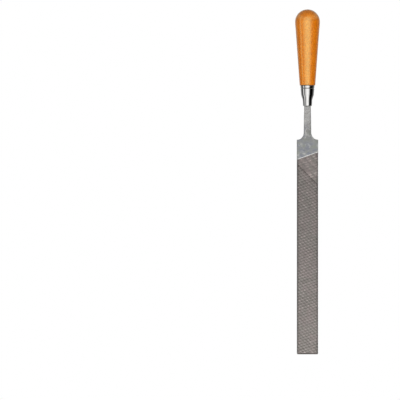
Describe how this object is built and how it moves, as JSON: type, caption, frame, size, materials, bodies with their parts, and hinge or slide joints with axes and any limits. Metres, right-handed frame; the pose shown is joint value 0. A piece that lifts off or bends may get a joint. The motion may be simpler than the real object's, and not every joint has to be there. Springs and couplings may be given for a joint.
{
  "type": "flat file",
  "caption": "Long flat hand file with parallel sides, a square point and a tapered tang pushed into a domed wooden handle with a stepped steel ferrule.",
  "frame": {"origin": "on the file's long axis, at the height of the ferrule's curved shoulder where it rests on the two edges of a rack slot", "axes": "+Z along the file from the blade up to the top of the handle, -Y out of the blade's front face, +X across the blade's width to the right seen from the front"},
  "size_m": [0.0346, 0.0346, 0.4821],
  "materials": {
    "lacquered_beech": "orange satin lacquer over fine straight beech grain",
    "plated_steel": "bright plated drawn sheet steel",
    "file_steel": "hardened steel, ground heel and tang, double-cut faces"
  },
  "bodies": {
    "handle_assembly": {"handle": "lacquered_beech", "ferrule": "plated_steel"},
    "blade": {"file_blade": "file_steel"}
  },
  "joints": [
    {"name": "tang_slide", "type": "slide", "parent": "handle_assembly", "child": "blade", "axis": [0, 0, -1], "range_m": [0, 0.06]}
  ]
}
